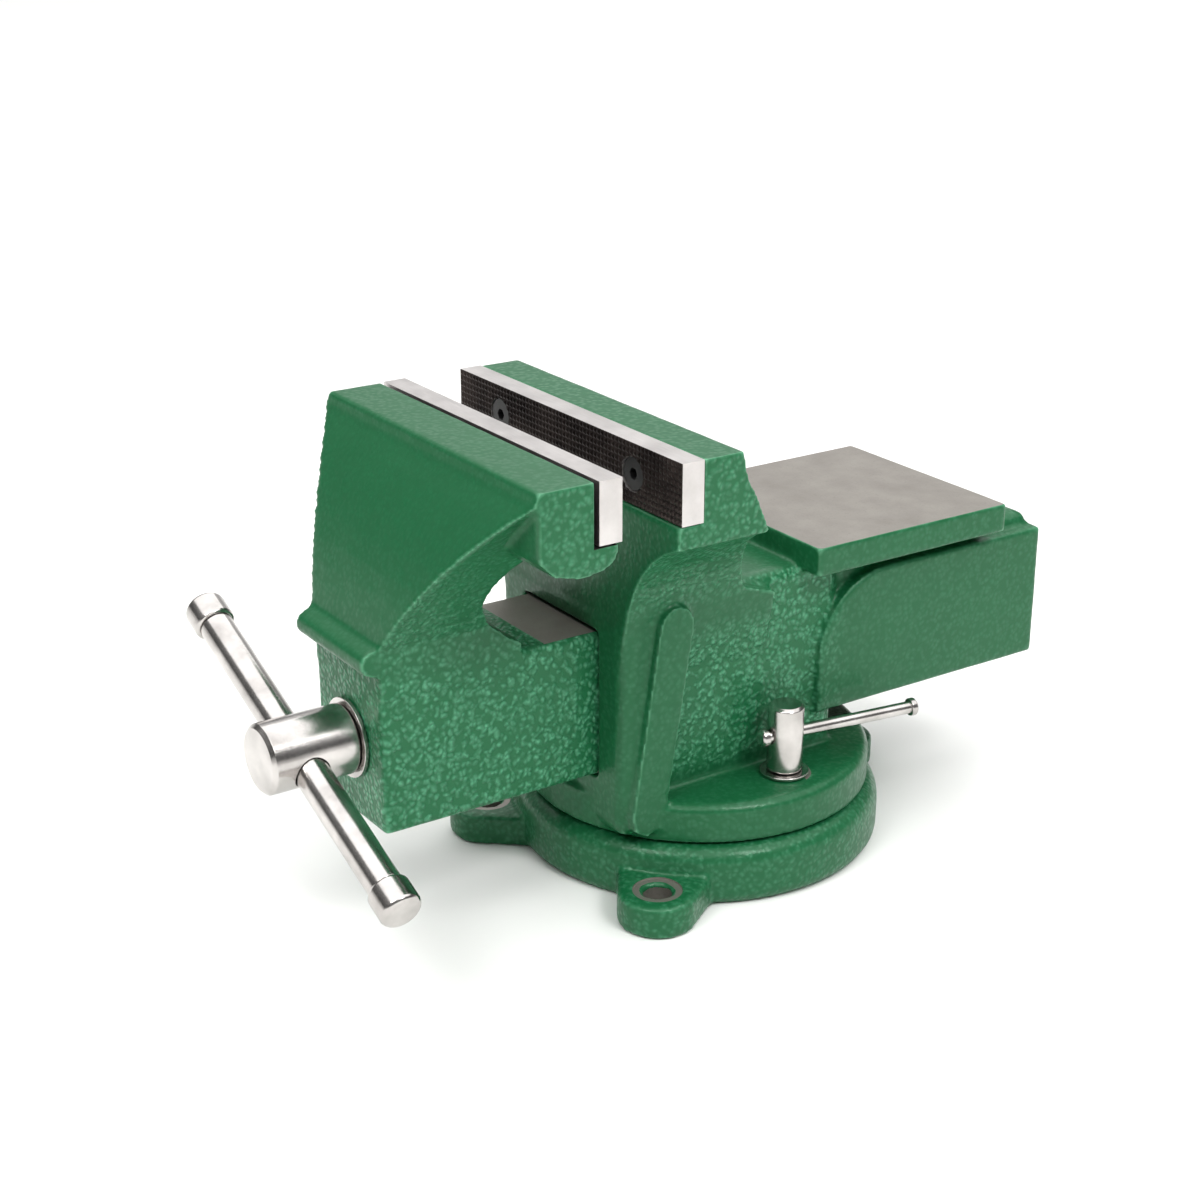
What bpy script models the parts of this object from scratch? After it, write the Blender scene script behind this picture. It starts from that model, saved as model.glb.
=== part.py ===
"""Bench vise on a swivel base, with an anvil behind the fixed jaw.

Units are metres, +Z is up, and -Y is the front, where the handle is. The origin is on the swivel
axis, in the plane of the bench. The moving jaw stands a little open.
"""

import math

import bmesh
import bpy
from mathutils import Matrix, Vector

# Driving sizes. Each is set by itself.
JAW_WIDTH = 0.150
JAW_DEPTH = 0.0783  # from the top of the slide to the top of the jaws
OPENING = 0.0238  # gap between the jaw plates as it stands
FIXED_FACE_Y = -0.0643  # face of the fixed jaw plate
GAP = 0.0003  # between pieces that touch on the real object

PLATE_HEIGHT = 0.023
PLATE_THICKNESS = 0.0102
PLATE_SCREW_SPREAD = 0.090
PLATE_SCREW_HEAD_R = 0.0062
PLATE_SCREW_R = 0.0032
PLATE_SCREW_GRIP = 0.014  # depth of the screw in the casting

FIXED_BLOCK = 0.0175  # casting behind the fixed plate, front to back
MOVING_BLOCK = 0.0235  # casting in front of the moving plate, front to back
BLOCK_HEIGHT = 0.032

BEAM_WIDTH = 0.050
BEAM_HEIGHT = 0.0592
FLOOR_THICKNESS = 0.0066  # of the body under the slide, above the foot
BEAM_WALL = 0.0095
BEAM_FRONT_WALL = 0.020
NOSE_REACH = 0.0587  # beam's front face ahead of the moving plate's seat
BEAM_REACH = 0.202  # beam's rear end behind the moving plate's face
SLIDE_CLEARANCE = 0.0004

SCREW_HEIGHT = 0.0305  # screw's axis above the bottom of the slide
THRUST_WALL = 0.0200  # free length behind the front wall for the spring
SCREW_HEAD_R = 0.0133
SCREW_HEAD_LENGTH = 0.0345
SHANK_R = 0.0092
THREAD_R = 0.0090  # outside of the thread
HANDLE_R = 0.0065
HANDLE_LENGTH = 0.165
HANDLE_ANGLE = math.radians(22)  # below level, towards +X
CAP_R = 0.0079
CAP_LENGTH = 0.0125

BASE_RIM = 0.0046  # base's edge outside the foot
BASE_HEIGHT = 0.024
BASE_TURN = math.radians(8)  # of the base under the vise
FRONT_LUG_SPREAD = math.radians(72.4)  # between the two front lugs; the third is opposite them
LUG_REACH = 0.0117  # from the base's edge to the centre of a lug's hole
LUG_R = 0.0155
LUG_HEIGHT = 0.013
LUG_HOLE_R = 0.0055
SPIGOT_R = 0.0140
SPIGOT_HEIGHT = 0.010

FOOT_RIM = 0.0185  # foot's edge outside the stud's axis
FOOT_HEIGHT = 0.0162
BODY_WALL = 0.0130  # beside the slide
COLLAR_WALL = 0.0180
COLLAR_TOP_WALL = 0.0113
RIB_REACH = 0.0045
HOUSING_WALL = 0.0165
HOUSING_DROP = 0.0085  # housing's lower edge above the bottom of the slide
HOUSING_RISE = 0.0053  # its side face above the top of the slide
HOUSING_START = 0.029
HOUSING_END_WALL = 0.008
HOUSING_CORNER_R = 0.034
ANVIL_RISE = 0.0228  # anvil's top above the top of the slide
ANVIL_THICKNESS = 0.0125
ANVIL_OVERHANG = 0.0073
ANVIL_START = 0.0206
ANVIL_LENGTH = 0.0977

LOCK_CLEARANCE = 0.0130  # from the body's wall to the stud's axis
LOCK_Y = 0.0050
LOCK_STUD_R = 0.0050
LOCK_HEAD_R = 0.0071
LOCK_HEAD_HEIGHT = 0.0275
LOCK_BAR_HEIGHT = 0.0165  # above the foot
LOCK_BAR_R = 0.0025
LOCK_BAR_REACH = 0.0600  # from the stud's axis to the bar's outer end
LOCK_BAR_ANGLE = math.radians(8)  # of the bar, outwards from +Y
LOCK_KNOB_R = 0.0036
LOCK_KNOB_LENGTH = 0.0032
STUD_CLEARANCE = 0.0004
TEE_HEAD = (0.015, 0.018, 0.006)
TEE_CLEARANCE = 0.0025
TEE_SLOT_FLOOR = 0.007
TEE_SLOT_LIP = 0.0085

NUT_FRONT = -0.0400
NUT_LENGTH = 0.036
NUT_SIDE_CLEARANCE = 0.001
NUT_BOLT_R = 0.0050
NUT_BOLT_HEAD_R = 0.0082
NUT_BOLT_HEAD_HEIGHT = 0.0079
NUT_BOLT_GRIP = 0.0170  # depth of the bolt in the nut
RETAINER_R = 0.0135
RETAINER_LENGTH = 0.0090
COLLAR_PIN_R = 0.0020

# Sizes that follow.
FOOT_BOTTOM = BASE_HEIGHT + GAP
FOOT_TOP = FOOT_BOTTOM + FOOT_HEIGHT
FLOOR_Z = FOOT_TOP + FLOOR_THICKNESS
BEAM_BOTTOM = FLOOR_Z + SLIDE_CLEARANCE
BEAM_TOP = BEAM_BOTTOM + BEAM_HEIGHT
JAW_TOP = BEAM_TOP + JAW_DEPTH
SCREW_AXIS_Z = BEAM_BOTTOM + SCREW_HEIGHT
BODY_HALF = BEAM_WIDTH / 2 + BODY_WALL
COLLAR_HALF = BEAM_WIDTH / 2 + COLLAR_WALL
COLLAR_TOP = BEAM_TOP + COLLAR_TOP_WALL
HOUSING_HALF = BEAM_WIDTH / 2 + HOUSING_WALL
ANVIL_TOP = BEAM_TOP + ANVIL_RISE
LOCK_X = BODY_HALF + LOCK_CLEARANCE
LOCK_BAR_Z = FOOT_TOP + LOCK_BAR_HEIGHT
STUD_CIRCLE_R = math.hypot(LOCK_X, LOCK_Y)
FOOT_R = STUD_CIRCLE_R + FOOT_RIM
BASE_R = FOOT_R + BASE_RIM
LUG_CENTRE_R = BASE_R + LUG_REACH
FIXED_SEAT_Y = FIXED_FACE_Y + PLATE_THICKNESS
FIXED_BACK_Y = FIXED_SEAT_Y + FIXED_BLOCK
MOVING_FACE_Y = FIXED_FACE_Y - OPENING
MOVING_SEAT_Y = MOVING_FACE_Y - PLATE_THICKNESS
MOVING_FRONT_Y = MOVING_SEAT_Y - MOVING_BLOCK
NOSE_Y = MOVING_SEAT_Y - NOSE_REACH
BLOCK_BOTTOM = JAW_TOP - BLOCK_HEIGHT
PLATE_BOTTOM = JAW_TOP - PLATE_HEIGHT
PLATE_MIDDLE = JAW_TOP - PLATE_HEIGHT / 2
BEAM_END = MOVING_FACE_Y + BEAM_REACH
TUNNEL_END = BEAM_END + OPENING + GAP
HOUSING_END = TUNNEL_END + HOUSING_END_WALL
ANVIL_BOTTOM = ANVIL_TOP - ANVIL_THICKNESS
ANVIL_END = ANVIL_START + ANVIL_LENGTH
CHANNEL_HALF = BEAM_WIDTH / 2 - BEAM_WALL
COLLAR_FRONT = FIXED_FACE_Y - 0.0017
NUT_BOLT_Y = NUT_FRONT + 0.0145
NUT_BOLT_SEAT = FOOT_BOTTOM + 0.0102
HANDLE_Y = NOSE_Y - SCREW_HEAD_LENGTH * 0.62
FRONT = BASE_TURN - math.pi / 2
LUG_ANGLES = [FRONT - FRONT_LUG_SPREAD / 2, FRONT + FRONT_LUG_SPREAD / 2, FRONT + math.pi]

PAINT = ((0.030, 0.165, 0.075, 1.0), 0.42, 0.0)
STEEL = ((0.55, 0.55, 0.54, 1.0), 0.30, 1.0)
BLACK_STEEL = ((0.045, 0.042, 0.045, 1.0), 0.45, 0.8)
BRONZE = ((0.42, 0.25, 0.10, 1.0), 0.40, 1.0)


def clear_scene():
    for obj in list(bpy.data.objects):
        bpy.data.objects.remove(obj)


def material(name, look):
    """The Principled BSDF material of that name, made once."""
    made = bpy.data.materials.get(name)
    if made is None:
        made = bpy.data.materials.new(name)
        made.use_nodes = True
        colour, roughness, metallic = look
        shader = made.node_tree.nodes["Principled BSDF"]
        shader.inputs["Base Color"].default_value = colour
        shader.inputs["Roughness"].default_value = roughness
        shader.inputs["Metallic"].default_value = metallic
    return made


# Building blocks


def from_bmesh(name, shape):
    """A new object that holds the closed shape, with its faces turned outwards."""
    bmesh.ops.recalc_face_normals(shape, faces=shape.faces)
    mesh = bpy.data.meshes.new(name)
    shape.to_mesh(mesh)
    shape.free()
    mesh.shade_smooth()
    mesh.set_sharp_from_angle(angle=math.radians(35))
    obj = bpy.data.objects.new(name, mesh)
    bpy.context.scene.collection.objects.link(obj)
    return obj


def prism(name, outline, axis, low, high):
    """The outline, drawn across the axis, as a solid from low to high along it."""
    place = {
        "X": lambda u, v, w: (w, u, v),
        "Y": lambda u, v, w: (u, w, v),
        "Z": lambda u, v, w: (u, v, w),
    }[axis]
    shape = bmesh.new()
    corners = [shape.verts.new(place(u, v, low)) for u, v in outline]
    face = shape.faces.new(corners)
    grown = bmesh.ops.extrude_face_region(shape, geom=[face])
    along = Vector(place(0, 0, high - low))
    new = [item for item in grown["geom"] if isinstance(item, bmesh.types.BMVert)]
    bmesh.ops.translate(shape, verts=new, vec=along)
    return from_bmesh(name, shape)


def box(name, low, high, round_off=0.0, steps=2):
    """A box between two corners, with its edges rounded."""
    shape = bmesh.new()
    low, high = Vector(low), Vector(high)
    place = Matrix.Translation((low + high) / 2) @ Matrix.Diagonal((*(high - low), 1))
    bmesh.ops.create_cube(shape, size=1.0, matrix=place)
    if round_off:
        edges = shape.edges[:]
        bmesh.ops.bevel(shape, geom=edges, offset=round_off, segments=steps, profile=0.5, affect="EDGES")
    return from_bmesh(name, shape)


def turned(name, profile, closed=False, segments=32):
    """The (radius, height) profile turned about +Z. An open profile starts and ends on the axis."""
    shape = bmesh.new()
    points = [shape.verts.new((r, 0, h)) for r, h in profile]
    edges = [shape.edges.new(pair) for pair in zip(points, points[1:])]
    if closed:
        edges.append(shape.edges.new((points[-1], points[0])))
    bmesh.ops.spin(shape, geom=points + edges, cent=(0, 0, 0), axis=(0, 0, 1), angle=math.tau, steps=segments)
    bmesh.ops.remove_doubles(shape, verts=shape.verts, dist=1e-6)
    return from_bmesh(name, shape)


def bar(radius, low, high, chamfer=0.0):
    """An open profile for a round bar along its axis, with its end edges chamfered."""
    if chamfer:
        return [(0, low), (radius - chamfer, low), (radius, low + chamfer), (radius, high - chamfer),
                (radius - chamfer, high), (0, high)]
    return [(0, low), (radius, low), (radius, high), (0, high)]


def ring(inner, outer, low, high):
    """A closed profile for a washer."""
    return [(inner, low), (outer, low), (outer, high), (inner, high)]


def arc(centre, radius, start, end, steps):
    """Points of an arc, in degrees, both ends included."""
    turns = [math.radians(start + (end - start) * k / steps) for k in range(steps + 1)]
    return [(centre[0] + radius * math.cos(t), centre[1] + radius * math.sin(t)) for t in turns]


def curve_through(start, middle, end, steps):
    """Points of a smooth curve that starts, passes middle half way and ends."""
    control = [2 * m - (s + e) / 2 for s, m, e in zip(start, middle, end)]
    points = []
    for k in range(steps + 1):
        t = k / steps
        points.append(tuple((1 - t) ** 2 * s + 2 * t * (1 - t) * c + t * t * e
                            for s, c, e in zip(start, control, end)))
    return points


def apply_placement(obj, matrix):
    obj.data.transform(matrix)
    return obj


def along_y(y=0.0, x=0.0, z=SCREW_AXIS_Z):
    """Turns what was modelled on +Z so that it lies along +Y, through (x, z)."""
    return Matrix.Translation((x, y, z)) @ Matrix.Rotation(math.radians(-90), 4, "X")


def combine(obj, other, operation):
    """Joins, cuts or intersects with another object, which becomes a hidden helper."""
    step = obj.modifiers.new(operation.lower() + "_" + other.name, "BOOLEAN")
    step.operation = operation
    step.object = other
    other.hide_render = True
    other.display_type = "WIRE"
    return obj


def join(obj, *others):
    for other in others:
        combine(obj, other, "UNION")
    return obj


def cut(obj, *others):
    for other in others:
        combine(obj, other, "DIFFERENCE")
    return obj


def finish(obj, parent, look_name, look):
    """Gives the piece its material and hangs it on its body's empty, where it stands."""
    obj.data.materials.append(material(look_name, look))
    obj.parent = parent
    obj.matrix_parent_inverse = Matrix.Translation(parent.location).inverted()
    return obj


def body(name, location, parent=None):
    """An empty on a joint's axis."""
    empty = bpy.data.objects.new(name, None)
    bpy.context.scene.collection.objects.link(empty)
    empty.location = Vector(location)
    if parent is not None:
        empty.parent = parent
        empty.matrix_parent_inverse = Matrix.Translation(parent.location).inverted()
    return empty


# Swivel base


def lug_outline(angle):
    """Plan of one lug: straight sides from inside the ring to a round end."""
    out = Vector((math.cos(angle), math.sin(angle)))
    side = Vector((-out.y, out.x))
    inner = BASE_R * 0.80
    flare = LUG_R * 1.35
    end = [LUG_CENTRE_R * out + LUG_R * (math.cos(t) * side + math.sin(t) * out)
           for t in (math.pi * k / 12 for k in range(13))]
    return [tuple(p) for p in [inner * out + flare * side, *end, inner * out - flare * side]]


def make_swivel_base(parent):
    shoulder = 0.0075
    profile = [(0, 0), (BASE_R - 0.0022, 0), (BASE_R, 0.0035), (BASE_R, BASE_HEIGHT - shoulder)]
    profile += arc((BASE_R - shoulder, BASE_HEIGHT - shoulder), shoulder, 0, 80, 4)[1:]
    profile += [(BASE_R - shoulder - 0.001, BASE_HEIGHT), (SPIGOT_R, BASE_HEIGHT),
                (SPIGOT_R, BASE_HEIGHT + SPIGOT_HEIGHT - 0.001),
                (SPIGOT_R - 0.001, BASE_HEIGHT + SPIGOT_HEIGHT), (0, BASE_HEIGHT + SPIGOT_HEIGHT)]
    base = turned("swivel_base", profile, segments=64)
    for number, angle in enumerate(LUG_ANGLES):
        lug = prism(f"lug_{number}", lug_outline(angle), "Z", 0.0, LUG_HEIGHT)
        join(base, lug)
    slot_r, neck, wide = STUD_CIRCLE_R, LOCK_STUD_R + STUD_CLEARANCE, TEE_HEAD[0] / 2 + TEE_CLEARANCE
    floor, lip = TEE_SLOT_FLOOR, BASE_HEIGHT - TEE_SLOT_LIP
    slot = [(slot_r - wide, floor), (slot_r + wide, floor), (slot_r + wide, lip), (slot_r + neck, lip),
            (slot_r + neck, BASE_HEIGHT + 0.004), (slot_r - neck, BASE_HEIGHT + 0.004), (slot_r - neck, lip),
            (slot_r - wide, lip)]
    cut(base, turned("tee_slot_cutter", slot, closed=True, segments=64))
    door = TEE_HEAD[1] / 2 + TEE_CLEARANCE / 2
    window = box("tee_window_cutter", (-door, slot_r - wide, floor + 0.001),
                 (door, slot_r + wide, BASE_HEIGHT + 0.006))
    cut(base, apply_placement(window, Matrix.Rotation(BASE_TURN, 4, "Z")))
    for number, angle in enumerate(LUG_ANGLES):
        hole = turned(f"lug_hole_{number}", bar(LUG_HOLE_R, -0.004, LUG_HEIGHT + 0.004), segments=24)
        place = Vector((math.cos(angle), math.sin(angle), 0)) * LUG_CENTRE_R
        cut(base, apply_placement(hole, Matrix.Translation(place)))
    return finish(base, parent, "hammered_green_paint", PAINT)


# Fixed jaw


def fixed_head():
    """Jaw block of the fixed casting, with the flare that carries it, as two crossed outlines."""
    half, waist = JAW_WIDTH / 2, COLLAR_HALF
    bend = (waist + 0.33 * (half - waist), BEAM_TOP + 0.40 * JAW_DEPTH)
    flare = curve_through((waist, BEAM_TOP + 0.005), bend, (half, BLOCK_BOTTOM), 6)
    right = [(BODY_HALF - 0.0005, BEAM_TOP - 0.022), *flare, (half, JAW_TOP)]
    outline = [*right, *((-x, z) for x, z in reversed(right))]
    front = prism("fixed_head", outline, "Y", COLLAR_FRONT - 0.009, FIXED_BACK_Y + 0.05)
    shoulder = (FIXED_BACK_Y + 0.003, JAW_TOP - 0.013)
    back = curve_through(shoulder, (FIXED_BACK_Y + 0.010, JAW_TOP - 0.027),
                         (FIXED_BACK_Y + 0.0246, BEAM_TOP + 0.0128), 6)
    low, rear = BEAM_TOP - 0.022, FIXED_BACK_Y + 0.041
    side = [(COLLAR_FRONT, low), (FIXED_FACE_Y - 0.0005, PLATE_BOTTOM - GAP),
            (FIXED_SEAT_Y, PLATE_BOTTOM - GAP), (FIXED_SEAT_Y, JAW_TOP), (FIXED_BACK_Y, JAW_TOP),
            (FIXED_BACK_Y + 0.0007, JAW_TOP - 0.006), *back,
            (rear, BEAM_TOP + 0.0073), (rear, low)]
    return combine(front, prism("fixed_head_side", side, "X", -0.08, 0.08), "INTERSECT")


def collar_rib(side):
    """Leaning round-ended rib on one side of the collar."""
    half_width = 0.0078
    low = Vector((COLLAR_FRONT + 0.0095, FOOT_TOP - 0.0045))
    high = Vector((COLLAR_FRONT + 0.0215, COLLAR_TOP - half_width + 0.0013))
    lean = math.degrees(math.atan2(high.y - low.y, high.x - low.x))
    outline = arc(high, half_width, lean - 90, lean + 90, 8) + arc(low, half_width, lean + 90, lean + 270, 4)
    inner, outer = sorted(((BEAM_WIDTH / 2 + 0.003) * side, (COLLAR_HALF + RIB_REACH) * side))
    return prism(f"collar_rib_{side}", outline, "X", inner, outer)


def housing_outline():
    """Side view of the tunnel housing behind the body: a box with a large round front corner."""
    low, high = BEAM_BOTTOM + HOUSING_DROP, BEAM_TOP + HOUSING_RISE
    corner = arc((HOUSING_START + HOUSING_CORNER_R, high - HOUSING_CORNER_R), HOUSING_CORNER_R, 180, 90, 8)
    return [(HOUSING_START, low), *corner, (HOUSING_END, high), (HOUSING_END, low)]


def make_fixed_jaw(parent):
    edge = 0.0025
    foot = [(0, FOOT_BOTTOM), (FOOT_R - 0.0008, FOOT_BOTTOM), (FOOT_R, FOOT_BOTTOM + 0.0008),
            (FOOT_R, FOOT_TOP - edge), (FOOT_R - edge, FOOT_TOP), (0, FOOT_TOP)]
    jaw = turned("fixed_jaw", foot, segments=64)
    half, wide = BODY_HALF, HOUSING_HALF + ANVIL_OVERHANG
    walls = box("body_walls", (-half, COLLAR_FRONT + 0.006, FOOT_BOTTOM + 0.003),
                (half, HOUSING_START + 0.011, BEAM_TOP + 0.0128), 0.004)
    collar = box("collar", (-COLLAR_HALF, COLLAR_FRONT, FOOT_BOTTOM + 0.002),
                 (COLLAR_HALF, COLLAR_FRONT + 0.019, COLLAR_TOP), 0.005)
    housing = prism("housing", housing_outline(), "X", -HOUSING_HALF, HOUSING_HALF)
    roof = box("housing_roof", (-HOUSING_HALF + 0.0055, HOUSING_START + 0.001, BEAM_TOP - 0.0067),
               (HOUSING_HALF - 0.0055, HOUSING_END - 0.0006, BEAM_TOP + 0.0105), 0.005)
    anvil = box("anvil", (-wide, ANVIL_START, ANVIL_BOTTOM), (wide, ANVIL_END, ANVIL_TOP), 0.0008, 1)
    join(jaw, walls, collar, housing, roof, anvil, fixed_head(), collar_rib(1), collar_rib(-1))
    tunnel_half = BEAM_WIDTH / 2 + SLIDE_CLEARANCE
    tunnel = box("tunnel_cutter", (-tunnel_half, COLLAR_FRONT - 0.02, FLOOR_Z),
                 (tunnel_half, TUNNEL_END, BEAM_TOP + SLIDE_CLEARANCE))
    cut(jaw, tunnel)
    for side in (-1, 1):
        stud = bar(LOCK_STUD_R + STUD_CLEARANCE, FOOT_BOTTOM - 0.01, FOOT_TOP + 0.01)
        stud_hole = turned(f"stud_hole_{side}", stud, segments=24)
        cut(jaw, apply_placement(stud_hole, Matrix.Translation((side * LOCK_X, LOCK_Y, 0))))
        grip = bar(PLATE_SCREW_R + GAP, -0.010, PLATE_SCREW_GRIP + GAP)
        grip_place = along_y(FIXED_SEAT_Y, side * PLATE_SCREW_SPREAD / 2, PLATE_MIDDLE)
        cut(jaw, apply_placement(turned(f"fixed_grip_{side}", grip, segments=16), grip_place))
    seat = bar(SPIGOT_R + GAP, FOOT_BOTTOM - 0.01, BASE_HEIGHT + SPIGOT_HEIGHT + GAP)
    cut(jaw, turned("spigot_seat", seat, segments=32))
    wide_r, narrow_r = NUT_BOLT_HEAD_R + 0.0005, NUT_BOLT_R + 0.0004
    counterbore = [(0, FOOT_BOTTOM - 0.01), (wide_r, FOOT_BOTTOM - 0.01), (wide_r, NUT_BOLT_SEAT),
                   (narrow_r, NUT_BOLT_SEAT), (narrow_r, FLOOR_Z + 0.01), (0, FLOOR_Z + 0.01)]
    bolt_hole = turned("nut_bolt_hole", counterbore, segments=24)
    cut(jaw, apply_placement(bolt_hole, Matrix.Translation((0, NUT_BOLT_Y, 0))))
    return finish(jaw, parent, "hammered_green_paint", PAINT)


# Jaw plates and their screws


def half_turn(face):
    """Turns a piece end for end where its face looks the other way."""
    return Matrix.Rotation(math.pi if face < 0 else 0.0, 4, "X")


def make_plate(name, parent, seat_y, face):
    """A hardened jaw plate. face is +1 where its working face looks back, -1 where it looks forward."""
    seat, front = seat_y + face * GAP, seat_y + face * PLATE_THICKNESS
    low, high = sorted((seat, front))
    half = JAW_WIDTH / 2
    plate = box(name, (-half, low, PLATE_BOTTOM), (half, high, JAW_TOP), 0.0005, 1)
    for side in (-1, 1):
        rim = -0.0017
        sink = [(0, 0.004), (PLATE_SCREW_HEAD_R + GAP, 0.004), (PLATE_SCREW_HEAD_R + GAP, rim),
                (PLATE_SCREW_R + GAP, rim - PLATE_SCREW_HEAD_R + PLATE_SCREW_R),
                (PLATE_SCREW_R + GAP, -0.030), (0, -0.030)]
        place = along_y(front, side * PLATE_SCREW_SPREAD / 2, PLATE_MIDDLE)
        hole = turned(f"{name}_sink_{side}", sink, segments=24)
        cut(plate, apply_placement(hole, place @ half_turn(face)))
    return finish(plate, parent, "jaw_plate_steel", STEEL)


def make_plate_screw(name, parent, seat_y, face, side):
    """Countersunk screw with a hexagon socket, through the plate into the casting."""
    depth = PLATE_SCREW_HEAD_R - PLATE_SCREW_R
    grip = PLATE_THICKNESS + PLATE_SCREW_GRIP
    top = -0.0008
    profile = [(0, top), (PLATE_SCREW_HEAD_R, top), (PLATE_SCREW_HEAD_R, top - 0.0006),
               (PLATE_SCREW_R, top - 0.0006 - depth), (PLATE_SCREW_R, 0.0006 - grip),
               (PLATE_SCREW_R - 0.0006, -grip), (0, -grip)]
    screw = turned(name, profile, segments=24)
    socket = turned(f"{name}_socket", bar(0.0023, -0.0038, 0.002), segments=6)
    cut(screw, socket)
    place = along_y(seat_y + face * PLATE_THICKNESS, side * PLATE_SCREW_SPREAD / 2, PLATE_MIDDLE)
    apply_placement(screw, place @ half_turn(face))
    apply_placement(socket, place @ half_turn(face))
    return finish(screw, parent, "black_oxide_steel", BLACK_STEEL)


# Moving jaw


def moving_head():
    """Shield in front of the moving jaw: front and side outlines crossed."""
    half, narrow = JAW_WIDTH / 2, BEAM_WIDTH / 2 + 0.0005
    bend = (narrow + 0.42 * (half - narrow), BEAM_TOP + 0.566 * JAW_DEPTH)
    flare = curve_through((narrow, BEAM_TOP + 0.0123), bend, (half, JAW_TOP - 0.005), 8)
    right = [(narrow, BEAM_TOP - 0.0067), *flare, (half, JAW_TOP)]
    outline = [*right, *((-x, z) for x, z in reversed(right))]
    front = prism("moving_head", outline, "Y", NOSE_Y - 0.02, MOVING_SEAT_Y)
    top, foot = (MOVING_FRONT_Y - 0.002, JAW_TOP - 0.005), (NOSE_Y - 0.0005, BEAM_TOP + 0.0148)
    shield = curve_through(top, (NOSE_Y + 0.0125, BEAM_TOP + 0.566 * JAW_DEPTH), foot, 8)
    bead = arc((NOSE_Y - 0.0030, BEAM_TOP + 0.0088), 0.0046, 110, 250, 5)
    heel, low = MOVING_FACE_Y - 0.0024, BEAM_TOP - 0.0087
    throat = curve_through((MOVING_SEAT_Y - 0.004, BLOCK_BOTTOM + 0.003),
                           (MOVING_SEAT_Y - 0.0197, BEAM_TOP + 0.3 * JAW_DEPTH), (heel, BEAM_TOP - 0.001), 6)
    side = [(MOVING_SEAT_Y, JAW_TOP), (MOVING_FRONT_Y, JAW_TOP), *shield, *bead, (NOSE_Y, BEAM_TOP + 0.0028),
            (NOSE_Y, low), (heel, low), *reversed(throat), (MOVING_SEAT_Y, BLOCK_BOTTOM + 0.007)]
    return combine(front, prism("moving_head_side", side, "X", -0.08, 0.08), "INTERSECT")


def moving_block():
    """Full-width block that the moving plate is screwed to, with a ledge under the plate."""
    ledge_y = MOVING_FACE_Y + 0.0005 - 0.0025
    outline = [(MOVING_FRONT_Y, JAW_TOP), (MOVING_FRONT_Y, BLOCK_BOTTOM + 0.007),
               (MOVING_FRONT_Y + 0.006, BLOCK_BOTTOM + 0.001), (MOVING_SEAT_Y - 0.008, BLOCK_BOTTOM - 0.0015),
               (MOVING_SEAT_Y + 0.001, BLOCK_BOTTOM - 0.001), (ledge_y - 0.0015, BLOCK_BOTTOM + 0.002),
               (ledge_y, BLOCK_BOTTOM + 0.005), (ledge_y, PLATE_BOTTOM - GAP),
               (MOVING_SEAT_Y, PLATE_BOTTOM - GAP), (MOVING_SEAT_Y, JAW_TOP)]
    return prism("moving_block", outline, "X", -JAW_WIDTH / 2, JAW_WIDTH / 2)


def make_moving_jaw(parent):
    half = BEAM_WIDTH / 2
    jaw = box("moving_jaw", (-half, NOSE_Y, BEAM_BOTTOM), (half, BEAM_END, BEAM_TOP), 0.0012, 1)
    join(jaw, moving_block(), moving_head())
    channel = box("channel_cutter", (-CHANNEL_HALF, NOSE_Y + BEAM_FRONT_WALL, BEAM_BOTTOM - 0.01),
                  (CHANNEL_HALF, BEAM_END + 0.01, BEAM_TOP - BEAM_WALL))
    cut(jaw, channel)
    screw_hole = turned("screw_hole", bar(SHANK_R + GAP, -0.010, BEAM_FRONT_WALL + 0.01), segments=32)
    cut(jaw, apply_placement(screw_hole, along_y(NOSE_Y)))
    for side in (-1, 1):
        grip = bar(PLATE_SCREW_R + GAP, -PLATE_SCREW_GRIP - GAP, 0.010)
        grip_place = along_y(MOVING_SEAT_Y, side * PLATE_SCREW_SPREAD / 2, PLATE_MIDDLE)
        cut(jaw, apply_placement(turned(f"moving_grip_{side}", grip, segments=16), grip_place))
    return finish(jaw, parent, "hammered_green_paint", PAINT)


# Screw, handle and what holds the screw in the jaw


def make_main_screw(parent):
    head_back, head_front = NOSE_Y - 0.0022, NOSE_Y - 0.0022 - SCREW_HEAD_LENGTH
    thread_start, tail = collar_span()[1] + 0.002, BEAM_END - 0.010
    profile = [(0, head_front), (SCREW_HEAD_R - 0.0015, head_front), (SCREW_HEAD_R, head_front + 0.0015),
               (SCREW_HEAD_R, head_back - 0.0008), (SCREW_HEAD_R - 0.0008, head_back), (SHANK_R, head_back),
               (SHANK_R, thread_start), (THREAD_R, thread_start + 0.0004), (THREAD_R, tail - 0.0025),
               (THREAD_R - 0.0025, tail), (0, tail)]
    screw = apply_placement(turned("main_screw", profile, segments=32), along_y())
    reach = 2 * SCREW_HEAD_R
    hole = turned("handle_hole", bar(HANDLE_R + 0.0004, -reach, reach), segments=24)
    apply_placement(hole, handle_frame())
    pin = apply_placement(turned("pin_hole", bar(COLLAR_PIN_R + GAP, -0.02, 0.02), segments=12), pin_frame())
    cut(screw, hole, pin)
    return finish(screw, parent, "bright_steel", STEEL)


def handle_frame():
    """Takes a bar on +Z to the handle's line through the screw head."""
    turn = Matrix.Rotation(math.pi / 2 + HANDLE_ANGLE, 4, "Y")
    return Matrix.Translation((0, HANDLE_Y, SCREW_AXIS_Z)) @ turn


def pin_frame():
    return Matrix.Translation((0, collar_span()[0] + RETAINER_LENGTH / 2, SCREW_AXIS_Z))


def collar_span():
    """Front and back of the collar that holds the screw in the jaw."""
    wall_back = NOSE_Y + BEAM_FRONT_WALL
    return wall_back + THRUST_WALL, wall_back + THRUST_WALL + RETAINER_LENGTH


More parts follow.
